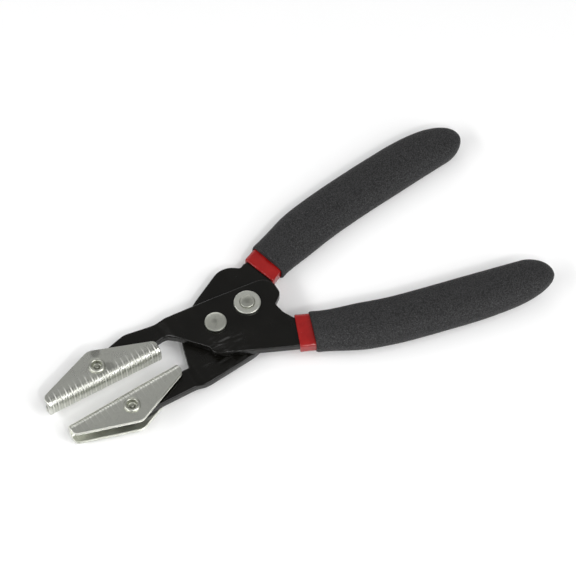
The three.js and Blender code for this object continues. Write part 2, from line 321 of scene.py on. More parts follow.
def plate(loops, z0, z1, under, over):
    """Stamped sheet: outline first, then holes, with a small radius under and over every edge."""
    bm = bmesh.new()
    turns = [math.radians(a) for a in (0, 22.5, 45, 67.5, 90)]
    edge = [(under * (1 - math.sin(a)), z0 + under * (1 - math.cos(a))) for a in turns]
    edge += [(over * (1 - math.cos(a)), z1 - over * (1 - math.sin(a))) for a in turns]
    lower, upper = [], []
    for i, loop in enumerate(loops):
        loop = tidy_loop(loop, i == 0)
        rows = []
        for amount, z in edge:
            rows.append([bm.verts.new((p.x, p.y, z)) for p in inset(loop, amount)])
        for a, b in zip(rows, rows[1:]):
            ring_faces(bm, a, b)
        lower.append(rows[0])
        upper.append(rows[-1])
    for layer in (lower, upper):
        flat = [v for row in layer for v in row]
        for tri in tessellate_polygon([[v.co for v in row] for row in layer]):
            if len(set(tri)) == 3:
                bm.faces.new([flat[k] for k in tri])
    return bm


# ---------------------------------------------------------------- handles
# Each handle has a line from the lever to the nose, and along it the starts of the liner (sleeve) and of
# the grip (rim). Lean and rim_lean slant those ends. Rim_half is the grip's half width at its rim. Nose is
# how far the outboard side takes to close, and tip is how far inboard of the line the two sides meet.
HANDLE = {
    "front": {
        "z": LEVEL, "side": 1, "lean": 0.045, "rim_lean": 0.12, "sleeve": 0.3, "rim": 6.95,
        "rim_half": 9.35, "nose": 46, "tip": 1.7,
        "line": [(27.7, -21.5), (34.2, -24.45), (42.9, -28.5), (52.2, -32.3), (67.8, -37.5),
                 (108, -46.8), (140.0, -54.3)],
    },
    "back": {
        "z": -LEVEL, "side": -1, "lean": 0.16, "rim_lean": 0.16, "sleeve": 1.0, "rim": 7.5,
        "rim_half": 9.6, "nose": 36, "tip": 2.6,
        "line": [(29.8, 15.05), (36.8, 18.25), (47.6, 21.7), (61.5, 25.5), (80, 28.7),
                 (111.6, 32.4), (146.9, 36.2)],
    },
}
for handle in HANDLE.values():
    handle["curve"] = Line(handle["line"])


def tang_half(s):
    """Half width of the tang at length s along the handle's line."""
    return TANG_HALF - TANG_TAPER * clamp((s - 10) / 70)


def superellipse(angle, wide, high, power):
    """Point on a rounded box of half sizes wide and high: the higher the power, the squarer."""
    c, s = math.cos(angle), math.sin(angle)
    return math.copysign(abs(c) ** (2 / power), c) * wide, math.copysign(abs(s) ** (2 / power), s) * high


def ring_on(handle, s, wide, high, power, shift=0.0, around=72, lean="lean"):
    """Section ring at length s on the handle's line, square to it apart from a slant near the lever."""
    at, along = handle["curve"].at(s)
    across = Vector((-along.y, along.x)) * handle["side"]
    slant = -handle[lean] * max(0.0, 1 - s / 30)
    ring = []
    for k in range(around):
        reach, tall = superellipse(2 * math.pi * (k + 0.5) / around, wide, high, power)
        reach += shift
        p = at + across * reach + along * (reach * slant)
        ring.append(Vector((p.x, p.y, handle["z"] + tall)))
    return ring


def build_liner(which):
    """Dipped sleeve: rounded lip with a slight bead, closed end, hollow for the tang."""
    handle = HANDLE[which]
    start = handle["sleeve"]
    end_round = 1.2
    rings = []
    for share in (0, 0.12, 0.4, 1):
        s = LINER_END - end_round * share
        wall = LINER_WALL - round_drop(LINER_END - s, end_round, 0.9)
        rings.append(ring_on(handle, s, tang_half(s) + wall, PLATE / 2 + wall, power=8))
    for d in (80, 65, 50, 35, 20, 9, 7.5, 6, 4.5, 3, 1.6, 0.8, 0.4, 0.18, 0.06, 0):
        s = start + d
        bead = 0.07 * math.exp(-((d - 1.1) / 0.8) ** 2)
        wall = LINER_WALL + bead - round_drop(d, 0.4, 0.34)
        rings.append(ring_on(handle, s, tang_half(s) + wall, PLATE / 2 + wall, power=8))
    for s in (start, start + 0.08, start + 0.3, 12, 30, 50, 70, TANG_END + LINER_GAP):
        room = LINER_GAP + 0.2 * max(0.0, 1 - (s - start) / 0.3)
        rings.append(ring_on(handle, s, tang_half(s) + room, PLATE / 2 + room, power=14))
    return chain(rings)


def grip_section(handle, s):
    """(wide, high, shift): swells from the rim, closes in a nose whose tip sits inboard."""
    tip, d = handle["tip"], s - handle["rim"]
    left = max(0.01, handle["curve"].length - s)
    swell = ease((d - 1) / 24)
    bead = 0.1 * math.exp(-((d - 1.6) / 1.2) ** 2)
    edge = bead - round_drop(d, 0.9, 0.6)

    def close(reach, power):
        return math.sqrt(1 - max(0.0, 1 - left / reach) ** power)

    half = handle["rim_half"] + (GRIP_HALF_W - handle["rim_half"]) * swell + edge
    high = (GRIP_RIM_HALF_H + (GRIP_HALF_H - GRIP_RIM_HALF_H) * swell + edge) * close(17, 2.2)
    inner = tip + (half - tip) * close(12, 1.7)
    outer = -tip + (half + tip) * close(handle["nose"], 2.2)
    return (inner + outer) / 2, high, (inner - outer) / 2


def uneven(handle, s, ring):
    """Ring pushed in and out a little by noise, but not at the rim, at the nose or underneath."""
    fade = ease((s - handle["rim"]) / 12) * ease((handle["curve"].length - s) / 20)
    at, _ = handle["curve"].at(s)
    heart = Vector((at.x, at.y, handle["z"]))
    moved = []
    for p in ring:
        out = (p - heart).normalized()
        wave = noise.noise(p * 0.045) * 0.16 + noise.noise(p * 0.16 + Vector((7, 3, 1))) * 0.05
        low = clamp((p.z - handle["z"]) / GRIP_HALF_H * 4 + 3.2)
        moved.append(p + out * (wave * fade * low))
    return moved


def build_grip(which):
    """Foam sleeve: thick rim, slightly uneven skin, closed nose, hollow for the liner."""
    handle = HANDLE[which]
    length, start = handle["curve"].length, handle["rim"]
    around = 96
    from_nose = (0.0, 0.02, 0.08, 0.2, 0.4, 0.7, 1.1, 1.6, 2.2, 3, 4, 5, 6.2, 7.5, 9, 10.5, 12, 13.5, 15,
                 17, 19)
    from_rim = (7, 5.5, 4.2, 3.2, 2.4, 1.8, 1.3, 0.9, 0.6, 0.35, 0.15, 0.04, 0.0)
    stations = [length - d for d in from_nose]
    s = length - 21
    while s > start + 8:
        stations.append(s)
        s -= 1.8
    stations += [start + d for d in from_rim]
    rings = []
    for s in stations:
        wide, high, shift = grip_section(handle, s)
        rings.append(uneven(handle, s, ring_on(handle, s, wide, high, 2.5, shift, around, "rim_lean")))
    for s in (start, start + 0.1, start + 0.4, 20, 40, 60, 80, LINER_END + LINER_GAP):
        room = LINER_WALL + LINER_GAP + 0.3 * max(0.0, 1 - (s - start) / 0.4)
        rings.append(ring_on(handle, s, tang_half(s) + room, PLATE / 2 + room, 9, 0.0, around, "rim_lean"))
    return chain(rings)


# ---------------------------------------------------------------- levers
def with_tang(before, handle, after):
    """Lever corners with the tang between them, out along its near edge and back along its far one."""
    near, far = [], []
    for s in [2.0] + [8.0 * k for k in range(1, 12)]:
        at, along = handle["curve"].at(s)
        side = Vector((along.y, -along.x)) * tang_half(s)
        near.append((*(at + side), 0))
        far.append((*(at - side), 0))
    for edge in (near, far):
        edge[-1] = (*edge[-1][:2], TANG_CORNER_R)
    return before + near + far[::-1] + after


UP_X, UP_Y = PIN["upper"].xy
LOW_X, LOW_Y = PIN["lower"].xy
FRONT_CORNERS = with_tang(
    [(UP_X, UP_Y - ARM_END_R, 4), (-36, 4.2, 20), (-21.4, 6.4, 3.2), (-8.2, -9.0, 3),
     (-8.3, -12.8, 3.5), (23.4, -27.5, 0)],
    HANDLE["front"],
    [(30.45, -14.6, 0), (27.9, -9.7, 9), (27.2, -4.6, 1.2), (32.1, -0.9, 4), (32.0, 9.2, 6.5),
     (4, 12.1, 30), (-24.6, 14.3, 18), (-36.5, 16.4, 8), (UP_X + 4, UP_Y + ARM_END_R + 1.2, 6),
     (UP_X - ARM_END_R, UP_Y + 2.5, 3.4), (UP_X - ARM_END_R, UP_Y - ARM_END_R, 4.3)],
)
BACK_CORNERS = with_tang(
    [(LOW_X - ARM_END_R, LOW_Y - ARM_END_R, 4.4), (-37, -21.9, 20), (-15.2, -22.2, 10),
     (10.5, -19.9, 14), (24.5, -9.5, 12), (28.3, 4.2, 3), (32.0, 6.8, 0)],
    HANDLE["back"],
    [(26.8, 22.3, 0), (24.6, 21.2, 1.2), (17.8, 26.3, 9.5), (-4.1, 14.7, 20), (-16.2, 1.4, 6),
     (-20.2, -12.1, 1.4), (-32, -12.6, 20), (LOW_X + 3, LOW_Y + ARM_END_R, 3),
     (LOW_X - ARM_END_R, LOW_Y + ARM_END_R, 4.6)],
)


def joggle(x):
    """Height of a lever's sheet off mid-plane at x, with both ends of the ramp rounded."""
    x0, x1 = ARM_RAMP

    def soft_ramp(t):
        if t <= -RAMP_BLEND:
            return 0.0
        if t >= RAMP_BLEND:
            return t
        return (t + RAMP_BLEND) ** 2 / (4 * RAMP_BLEND)

    return LEVEL / (x1 - x0) * (soft_ramp(x - x0) - soft_ramp(x - x1))


def guide_slot():
    """Slot in an arc about the pivot, as long as the guide rivet's travel, with round ends."""
    radius = math.hypot(*GUIDE)
    at_rest = math.atan2(GUIDE[1], GUIDE[0])
    first = at_rest - math.radians(SLOT_SPARE)
    last = at_rest + math.radians(CLOSE_ANGLE + SLOT_SPARE)
    half = GUIDE_R + CLEAR
    hub = Vector((0, 0))
    first_end, last_end = (Vector((math.cos(a), math.sin(a))) * radius for a in (first, last))
    loop = arc(hub, radius + half, first, last)
    loop += arc(last_end, half, last, last + math.pi)[1:-1]
    loop += arc(hub, radius - half, last, first)
    loop += arc(first_end, half, first + math.pi, first + 2 * math.pi)[1:-1]
    return loop


def build_lever(corners, holes, sign, under, over):
    """Stamped sheet whose arm lies on mid-plane and whose body steps up or down from it, by sign."""
    bm = plate([outline(corners)] + holes, -PLATE / 2, PLATE / 2, under, over)
    for k in range(RAMP_CUTS):
        everything = bm.verts[:] + bm.edges[:] + bm.faces[:]
        cut = (ARM_RAMP[0] - RAMP_MARGIN + RAMP_STEP * k, 0, 0)
        bmesh.ops.bisect_plane(bm, geom=everything, plane_co=cut, plane_no=(1, 0, 0), dist=1e-4)
    for v in bm.verts:
        v.co.z += sign * joggle(v.co.x)
    return bm


# ---------------------------------------------------------------- jaws
def flange_outline():
    """Points along a flange's free edge, from one end of the jaw to the other."""
    x0, x1 = JAW_ENDS
    loop = outline([(x0, -JAW_FACE, 0), (x1, -JAW_FACE, 0), (x1, -1.7, 2.9), (0, JAW_APEX, 4.5),
                    (x0, -1.9, 2.9)], step=5)
    return sorted({(round(p.x, 4), round(p.y, 4)) for p in loop if p.y > -JAW_FACE + 0.1})


FLANGE = flange_outline()


def jaw_top(x):
    """Height of a flange's free edge above the rivet line at x."""
    x = clamp(x, FLANGE[0][0], FLANGE[-1][0])
    for (ax, ay), (bx, by) in zip(FLANGE, FLANGE[1:]):
        if ax <= x <= bx:
            return ay + (by - ay) * ((x - ax) / (bx - ax) if bx > ax else 1.0)


def jaw_section(x, rib, tuck, round_off):
    """Rings of the folded channel at x, outside and inside, from one flange edge to the other.

    Each outside point carries a weight: 0 plain flange, 1 the bend with full ribs, 2 the upright face.
    """
    top = jaw_top(x)
    half = JAW_H / 2
    low = -JAW_FACE + JAW_BEND
    bend_in = JAW_BEND - JAW_SHEET
    outer, inner = [], []
    for dz, dy in ((0.0, JAW_EDGE), (0.05, 0.2), (0.18, 0.06), (JAW_EDGE, 0.0)):
        outer.append((top - dy, half - JAW_EDGE + dz, 0.0))
        inner.append((top - dy * 0.6, half - JAW_SHEET + 0.3 - dz * 0.6))
    for k in range(1, FLANGE_CUTS + 1):
        y = (top - JAW_EDGE) + (low - top + JAW_EDGE) * (k / FLANGE_CUTS) ** 0.8
        outer.append((y, half, 0.7 * ease((low + 3.6 - y) / 3.4)))
        inner.append((y, half - JAW_SHEET))
    for k in range(1, BEND_CUTS + 1):
        a = math.radians(90) * k / BEND_CUTS
        weight = 1.0 + clamp(math.degrees(a) / 40 - 1.25)
        outer.append((low - JAW_BEND * math.sin(a), half - JAW_BEND + JAW_BEND * math.cos(a), weight))
        inner.append((low - bend_in * math.sin(a), half - JAW_BEND + bend_in * math.cos(a)))
    outer.append((-JAW_FACE, 0.0, 2.0))
    inner.append((-JAW_FACE + JAW_SHEET, 0.0))
    outer += [(y, -z, weight) for y, z, weight in reversed(outer[:-1])]
    inner += [(y, -z) for y, z in reversed(inner[:-1])]
    bend_rib, flange_rib = rib
    ring_out, ring_in = [], []
    for (y, z, weight), inside in zip(outer, inner):
        o, i = Vector((y, z)), Vector(inside)
        wall = (i - o).normalized()
        on_bend = ease(weight * 2.2 - 1.2)
        face_share = 1 - 0.72 * clamp(weight - 1)
        drop = bend_rib * on_bend * face_share + flange_rib * clamp(weight) * (1 - on_bend) + tuck
        drop += round_off * ease(weight * 3.3 - 2.3)
        ring_out.append(o + wall * drop)
        ring_in.append(i - wall * tuck)
    return ring_out, ring_in


def rib_drop(x, fade, bend_share, flange_share):
    """How far the skin is sunk at x (on the bend, up the flange), negative where a rib stands out."""
    off_long = (x / RIB_PITCH + 0.5) % 1.0 - 0.5
    off_short = (x / RIB_PITCH) % 1.0 - 0.5
    long_rib = math.exp(-(off_long * RIB_PITCH / LONG_RIB_WIDTH) ** 2)
    short_rib = math.exp(-(off_short * RIB_PITCH / SHORT_RIB_WIDTH) ** 2)
    crest = max(long_rib, SHORT_RIB_SHARE * short_rib)
    return RIB_HEIGHT * bend_share * (1 - crest) * fade, -RIB_HEIGHT * flange_share * long_rib * fade


def skin_with_bore(bm, rows, pin, radius):
    """Faces of the outside and inside skins, left open round the rivet and joined there by the bore."""
    def gap(v):
        return math.hypot(v.co.x - pin.x, v.co.y - pin.y)

    open_cells = set()
    for i in range(len(rows) - 1):
        for k in range(len(rows[0][0]) - 1):
            corners = [rows[a][0][b] for a, b in ((i, k), (i + 1, k), (i + 1, k + 1), (i, k + 1))]
            if min(gap(v) for v in corners) < radius:
                open_cells.add((i, k))
                continue
            bm.faces.new(corners)
            bm.faces.new([rows[a][1][b] for a, b in ((i, k), (i + 1, k), (i + 1, k + 1), (i, k + 1))])
    rim = set()
    for i, k in sorted(open_cells):
        for p, q, beside in (((i, k), (i + 1, k), (i, k - 1)), ((i, k + 1), (i + 1, k + 1), (i, k + 1)),
                             ((i, k), (i, k + 1), (i - 1, k)), ((i + 1, k), (i + 1, k + 1), (i + 1, k))):
            if beside in open_cells:
                continue
            bm.faces.new([rows[a][side][b] for (a, b), side in ((p, 0), (q, 0), (q, 1), (p, 1))])
            rim.update((p, q))
    for a, b in sorted(rim):
        for v in (rows[a][0][b], rows[a][1][b]):
            scale = radius / gap(v)
            v.co.x = pin.x + (v.co.x - pin.x) * scale
            v.co.y = pin.y + (v.co.y - pin.y) * scale


def build_jaw(which):
    """Folded channel with pressed ribs over the gripping bend, drawn about its rivet, then placed."""
    x0, x1 = JAW_ENDS
    middle = (x0 + x1) / 2
    turn, pin = JAW_TURN[which], PIN[which]
    # Distance from the jaw's end, and how far both skins tuck into the sheet there.
    near_end = ((0, 0.3), (0.03, 0.16), (0.12, 0.05), (0.3, 0.0),
                (0.5, 0.0), (0.75, 0.0), (1.0, 0.0), (1.25, 0.0))
    stations = [(x0 + d, tuck) for d, tuck in near_end]
    x = x0 + 1.5
    while x < x1 - 1.4:
        stations.append((x, 0.0))
        x += RIB_PITCH / 20
    stations += [(x1 - d, tuck) for d, tuck in reversed(near_end)]

    def place(x, y, z):
        return Vector((pin.x + x * math.cos(turn) - y * math.sin(turn),
                       pin.y + x * math.sin(turn) + y * math.cos(turn), z))

    bm = bmesh.new()
    rows = []
    for x, tuck in stations:
        fade = ease((x - x0 - 1.0) / 1.2) * ease((x1 - 1.0 - x) / 1.2)
        rib = rib_drop(x - middle, fade, *RIB_SHARE[which])
        round_off = round_drop(min(x - x0, x1 - x), JAW_END_ROUND, JAW_END_ROUND)
        rings = jaw_section(x, rib, tuck, round_off)
        rows.append([[bm.verts.new(place(x, p.x, p.y)) for p in ring] for ring in rings])
    skin_with_bore(bm, rows, pin, EYELET_R + CLEAR)
    for (oa, ia), (ob, ib) in zip(rows, rows[1:]):
        for k in (0, -1):
            bm.faces.new((oa[k], ob[k], ib[k], ia[k]))
    for o, i in (rows[0], rows[-1]):
        ring_faces(bm, o, i, closed=False)
    return bm


def build_eyelet(which):
    """Tubular rivet: solid head below, rolled rim round a blind hollow with a pip above."""
    pin = PIN[which]
    top = JAW_H / 2 + STACK
    return turned([
        (0, -top - 1.0, 0), (2.4, -top - 0.95, 1.5), (EYELET_HEAD_R, -top - 0.35, 0.4),
        (EYELET_HEAD_R, -top, 0.1), (EYELET_R, -top, 0), (EYELET_R, top, 0), (3.5, top, 0.12),
        (EYELET_HEAD_R, top + 0.45, 0.3), (3.1, top + 0.95, 0.5), (2.3, top + 0.85, 0.4),
        (1.95, top - 1.3, 0.3), (1.2, top - 1.5, 0.25), (0.75, top - 0.5, 0.4), (0, top - 0.35, 0),
    ], pin.x, pin.y)


def build_spacer(which, sign):
    """Ring that fills the room between the arm and one flange, above it or below it by sign."""
    pin = PIN[which]
    thick = (JAW_H - 2 * JAW_SHEET - PLATE) / 2 - 2 * STACK
    near = PLATE / 2 + STACK
    z0, z1 = (near, near + thick) if sign > 0 else (-near - thick, -near)
    inner = EYELET_R + CLEAR
    return turned([(inner, z0, 0.08), (SPACER_R, z0, 0.12), (SPACER_R, z1, 0.12), (inner, z1, 0.08)],
                  pin.x, pin.y, 56)


# ---------------------------------------------------------------- pivot and guide hardware
def rear_head(shank):
    """Profile of a rivet's rear head, up to where its shank starts."""
    return [(0, REAR_Z - 1.45, 0), (3.3, REAR_Z - 1.4, 1.2), (4.5, REAR_Z - 0.6, 0.6), (4.4, REAR_Z, 0.15),
            (shank, REAR_Z, 0)]


def build_pivot_rivet():
    """Rivet with a broad, faintly domed front head that bears on the front lever."""
    return turned(rear_head(PIVOT_R) + [
        (PIVOT_R, HEAD_Z, 0), (4.6, HEAD_Z, 0.12), (PIVOT_HEAD_R, HEAD_Z + 0.5, 0.3),
        (4.72, HEAD_Z + 1.3, 0.16), (3.7, HEAD_Z + 1.5, 1.2), (0, HEAD_Z + 1.68, 0),
    ], 0, 0, 96)


def build_guide_rivet():
    """Rivet whose small upset front end stands a little above its washer."""
    top = HEAD_Z + WASHER + 0.2
    return turned(rear_head(GUIDE_R) + [
        (GUIDE_R, top - 0.15, 0), (GUIDE_R + 0.16, top + 0.1, 0.1), (GUIDE_R + 0.16, top + 0.42, 0.08),
        (GUIDE_R - 0.12, top + 0.54, 0.12), (0, top + 0.6, 0),
    ], *GUIDE, 80)


def build_washer(inner, outer, x, y, z0):
    """Flat washer from z0 up, with softened upper edges."""
    z1 = z0 + WASHER
    return turned([
        (inner, z0, 0.1), (outer - 0.1, z0, 0.15), (outer, z0 + 0.3, 0.15), (outer, z1 - 0.02, 0.34),
        (inner + 0.34, z1, 0.1), (inner, z1 - 0.4, 0.1),
    ], x, y, 96)


# ---------------------------------------------------------------- materials
class Paint:
    """Small helper round a node tree with one Principled shader."""

    def __init__(self, name):
        self.material = bpy.data.materials.new(name)
        self.material.use_nodes = True
        self.tree = self.material.node_tree
        self.shader = self.tree.nodes["Principled BSDF"]
        self.space = self.tree.nodes.new("ShaderNodeTexCoord").outputs["Object"]

    def set(self, **values):
        for key, value in values.items():
            self.shader.inputs[key.replace("_", " ")].default_value = value

    def link(self, a, b):
        self.tree.links.new(a, b)

    def noise(self, scale, detail=4.0, rough=0.55, stretch=None, distortion=0.0):
        node = self.tree.nodes.new("ShaderNodeTexNoise")
        node.inputs["Scale"].default_value = scale
        node.inputs["Detail"].default_value = detail
        node.inputs["Roughness"].default_value = rough
        node.inputs["Distortion"].default_value = distortion
        source = self.space
        if stretch:
            mapping = self.tree.nodes.new("ShaderNodeMapping")
            mapping.inputs["Scale"].default_value = stretch[:3]
            if len(stretch) > 3:
                mapping.inputs["Rotation"].default_value = (0, 0, math.radians(stretch[3]))
            self.link(self.space, mapping.inputs["Vector"])
            source = mapping.outputs["Vector"]
        self.link(source, node.inputs["Vector"])
        return node.outputs["Fac"]

    def cells(self, scale):
        node = self.tree.nodes.new("ShaderNodeTexVoronoi")
        node.inputs["Scale"].default_value = scale
        self.link(self.space, node.inputs["Vector"])
        return node.outputs["Distance"]

    def distance(self, point):
        node = self.tree.nodes.new("ShaderNodeVectorMath")
        node.operation = "DISTANCE"
        node.inputs[1].default_value = point
        self.link(self.space, node.inputs[0])
        return node.outputs["Value"]

    def along(self, point, direction):
        """Distance from a point, measured along a direction."""
        offset = self.tree.nodes.new("ShaderNodeVectorMath")
        offset.operation = "SUBTRACT"
        offset.inputs[1].default_value = point
        self.link(self.space, offset.inputs[0])
        node = self.tree.nodes.new("ShaderNodeVectorMath")
        node.operation = "DOT_PRODUCT"
        node.inputs[1].default_value = direction
        self.link(offset.outputs["Vector"], node.inputs[0])
        return node.outputs["Value"]

    def remap(self, value, low, high, to_low, to_high):
        node = self.tree.nodes.new("ShaderNodeMapRange")
        node.inputs["From Min"].default_value = low
        node.inputs["From Max"].default_value = high
        node.inputs["To Min"].default_value = to_low
        node.inputs["To Max"].default_value = to_high
        self.link(value, node.inputs["Value"])
        return node.outputs["Result"]

    def math(self, operation, a, b=0.0):
        node = self.tree.nodes.new("ShaderNodeMath")
        node.operation = operation
        for socket, value in zip(node.inputs, (a, b)):
            if isinstance(value, (int, float)):
                socket.default_value = value
            else:
                self.link(value, socket)
        return node.outputs["Value"]

    def blend(self, factor, dark, light):
        node = self.tree.nodes.new("ShaderNodeMix")
        node.data_type = "RGBA"
        for socket, value in ((node.inputs["A"], dark), (node.inputs["B"], light)):
            if isinstance(value, tuple):
                socket.default_value = (*value, 1)
            else:
                self.link(value, socket)
        self.link(factor, node.inputs["Factor"])
        return node.outputs["Result"]

    def colour(self, socket):
        self.link(socket, self.shader.inputs["Base Color"])

    def roughness(self, socket):
        self.link(socket, self.shader.inputs["Roughness"])

    def bump(self, layers):
        """Layers are (height socket, strength, distance in metres)."""
        normal = None
        for height, strength, distance in layers:
            node = self.tree.nodes.new("ShaderNodeBump")
            node.inputs["Strength"].default_value = strength
            node.inputs["Distance"].default_value = distance
            self.link(height, node.inputs["Height"])
            if normal:
                self.link(normal, node.inputs["Normal"])
            normal = node.outputs["Normal"]
        self.link(normal, self.shader.inputs["Normal"])


def black_enamel():
    """Black paint with faint unevenness all over, and a rippled patch on the back lever's near side."""
    p = Paint("black_enamel")
    p.set(Specular_IOR_Level=0.32)
    cloud = p.noise(70, 5)
    p.colour(p.blend(p.remap(cloud, 0.3, 0.7, 0, 1), (0.0020, 0.0019, 0.0013), (0.0042, 0.0039, 0.0029)))
    smear = p.noise(160, 6, 0.65, stretch=(1.0, 0.45, 1.0))
    p.roughness(p.remap(smear, 0.3, 0.75, 0.16, 0.32))
    ripple = p.noise(120, 1.5, 0.5, stretch=(1.0, 2.6, 1.0, 24), distortion=0.5)
    patch = ORIGIN + Vector((-4, -16, -FACE / 2)) * MM
    near = p.remap(p.distance(patch), 0.005, 0.016, 1, 0)
    p.bump([(p.noise(900, 2), 0.10, 0.0002), (p.noise(260, 3), 0.16, 0.0004),
            (p.noise(75, 2, 0.5, distortion=0.8), 0.2, 0.0009),
            (p.math("MULTIPLY", ripple, near), 0.5, 0.0022)])
    return p.material


def rib_marks(p, which, valley_shade_level, highlight_level):
    """Masks over a jaw's ribs: (painted shade between them on the bend, painted highlight lines on the
    crests up the flange).
    """
    turn, pin = JAW_TURN[which], JOINTS[which + "_jaw_swivel"]
    lengthwise = Vector((math.cos(turn), math.sin(turn), 0))
    x = p.along(pin + lengthwise * (sum(JAW_ENDS) / 2 * MM), lengthwise)
    y = p.along(pin, (-math.sin(turn), math.cos(turn), 0))
    low = -JAW_FACE + JAW_BEND
    phase = p.math("MULTIPLY", x, 2 * math.pi / (RIB_PITCH * MM))
    wander = p.remap(p.noise(260, 3), 0.35, 0.65, 0.35, 1.0)
    valley = p.remap(p.math("COSINE", p.math("MULTIPLY", phase, 2.0)), -1, 0.7, 1, 0)
    on_bend = p.remap(y, (low - 0.1) * MM, (low + 0.9) * MM, valley_shade_level, 0)
    crest = p.remap(p.math("COSINE", phase), 0.72, 1.0, 0, 1)
    up_flange = p.remap(y, (low + 0.6) * MM, (low + 4.6) * MM, highlight_level, 0)
    bend_z = JAW_H / 2 - JAW_BEND
    height = p.math("ABSOLUTE", p.along(pin, (0, 0, 1)))
    upright = p.remap(height, (bend_z - 0.6) * MM, (bend_z + 1.2) * MM, 0.3, 1)
    # Painted shade in the valleys between the ribs on the bend, weaker on the upright face.
    valley_shade = p.math("MULTIPLY", p.math("MULTIPLY", valley, on_bend), p.math("MULTIPLY", wander, upright))
    # The second mask is painted highlight: lines on the rib crests, fading up the flange.
    return valley_shade, p.math("MULTIPLY", p.math("MULTIPLY", crest, up_flange), wander)


def plating(name, base, worn, rough, grain, dirt, dark_spots=(), ribs=None):
    """Worn plating: mottled, brushed and dirty; darkened round each (x, y, radius) spot; on a jaw's ribs,
    painted shade between them and painted highlight lines on their crests.
    """
    p = Paint(name)
    p.set(Metallic=1.0)
    cloud = p.noise(150, 8, 0.62, distortion=0.4)
    mottled = p.blend(p.remap(cloud, 0.32, 0.68, 0, 1), worn, base)
    speckle = p.remap(p.noise(3200, 3, 0.7), 0.38, 0.62, 0, 0.3)
    mottled = p.blend(speckle, mottled, tuple(c * 0.8 for c in worn))
    dirt_and_shade = p.remap(p.noise(330, 6, 0.7, distortion=1.2), 0.56, 0.70, 0, dirt)
    # Darker round each listed spot: painted shade, painted dark reflections or darker centres, as listed
    # where the plating is made.
    for x, y, radius in dark_spots:
        spot = ORIGIN + Vector((x, y, JAW_H / 2)) * MM
        ragged = p.math("ADD", p.distance(spot), p.math("MULTIPLY", p.noise(330, 6, 0.7), 0.0034))
        patch = p.remap(ragged, (radius + 0.9) * MM, (radius + 2.1) * MM, 0.72, 0)
        dirt_and_shade = p.math("MAXIMUM", dirt_and_shade, patch)
    fine = p.noise(1500, 3, 0.6, stretch=grain)
    polish = p.remap(p.math("ADD", cloud, p.math("MULTIPLY", fine, 0.35)), 0.45, 0.85, rough[1], rough[0])
    if ribs:
        valley_shade, line = rib_marks(p, *ribs)
        # Painted highlight: crest lines blended towards white, and made rougher below.
        mottled = p.blend(line, mottled, (0.97, 0.97, 0.93))
        # Painted shade between the ribs on the bend joins the dirt and the spots.
        dirt_and_shade = p.math("MAXIMUM", dirt_and_shade, valley_shade)
        polish = p.math("MAXIMUM", polish, p.math("MULTIPLY", line, 0.8))
    # Dirt, spots and painted shade all darken towards a deep worn tone.
    p.colour(p.blend(dirt_and_shade, mottled, tuple(c * 0.52 for c in worn)))
    p.roughness(polish)
    p.bump([(fine, 0.16, 0.00006), (p.noise(700, 4, 0.6), 0.12, 0.0001), (p.noise(110, 3), 0.16, 0.0004)])
    return p.material


def red_vinyl():
    p = Paint("red_vinyl")
    p.set(Specular_IOR_Level=0.2, Coat_Weight=0.6, Coat_Roughness=0.03, Subsurface_Weight=0.04,
          Subsurface_Radius=(0.002, 0.0004, 0.0003), Subsurface_Scale=0.5)
    cloud = p.noise(220, 4)
    p.colour(p.blend(p.remap(cloud, 0.3, 0.7, 0, 1), (0.245, 0.005, 0.005), (0.31, 0.009, 0.008)))
    p.roughness(p.remap(p.noise(500, 4), 0.3, 0.7, 0.16, 0.28))
    p.bump([(p.noise(1100, 3), 0.10, 0.0001), (p.noise(260, 2), 0.16, 0.0004)])
    return p.material


def black_foam():
    p = Paint("black_foam")
    p.set(Specular_IOR_Level=0.27, Sheen_Weight=0.02, Sheen_Roughness=0.6)
    pebble = p.cells(1600)
    fine = p.noise(2600, 4, 0.7)
    cloud = p.noise(40, 4, 0.6)
    pores = p.math("MULTIPLY", p.remap(pebble, 0.05, 0.75, 0, 1), 0.5)
    mix = p.math("ADD", pores, p.math("MULTIPLY", fine, 0.7))
    grain = p.blend(p.remap(mix, 0.42, 0.86, 0, 1), (0.036, 0.036, 0.037), (0.0055, 0.0055, 0.0057))
    shade = p.blend(p.remap(cloud, 0.3, 0.7, 0.0, 0.3), grain, (0.020, 0.020, 0.021))
    specks = p.remap(p.noise(1900, 2, 0.5), 0.62, 0.70, 0, 0.6)
    p.colour(p.blend(specks, shade, (0.085, 0.085, 0.086)))
    p.roughness(p.remap(fine, 0.3, 0.7, 0.48, 0.76))
    p.bump([(fine, 0.45, 0.00025), (pebble, 0.5, 0.0004), (p.noise(330, 3), 0.25, 0.0006)])
    return p.material


def pale_floor():
    p = Paint("pale_floor")
    p.colour(p.blend(p.noise(6, 3), (0.955, 0.955, 0.955), (0.975, 0.975, 0.975)))
    p.roughness(p.remap(p.noise(30, 3), 0.3, 0.7, 0.75, 0.9))
    p.set(Specular_IOR_Level=0.2)
    return p.material


ENAMEL = black_enamel()
# Painted dark reflections on the upper jaw's flange, near its rivet and towards its apex.
PAINTED_DARK_REFLECTIONS = ((-49.8, 4.2, 2.3), (-51.7, 12.9, 2.3), (-54.2, 2.9, 1.2))
# ribs gives the jaw, the strength of the painted shade between its ribs, and that of the painted highlight
# lines on them.
JAW_PLATE = {
    "upper": plating("jaw_plating_upper", base=(0.80, 0.81, 0.75), worn=(0.675, 0.685, 0.62),
                     rough=(0.25, 0.38), grain=(14, 1, 1), dirt=0.3, dark_spots=PAINTED_DARK_REFLECTIONS,
                     ribs=("upper", 1.0, 1.0)),
    "lower": plating("jaw_plating_lower", base=(0.74, 0.75, 0.69), worn=(0.63, 0.64, 0.58),
                     rough=(0.29, 0.42), grain=(14, 1, 1), dirt=0.3, ribs=("lower", 0.2, 0.5)),
}
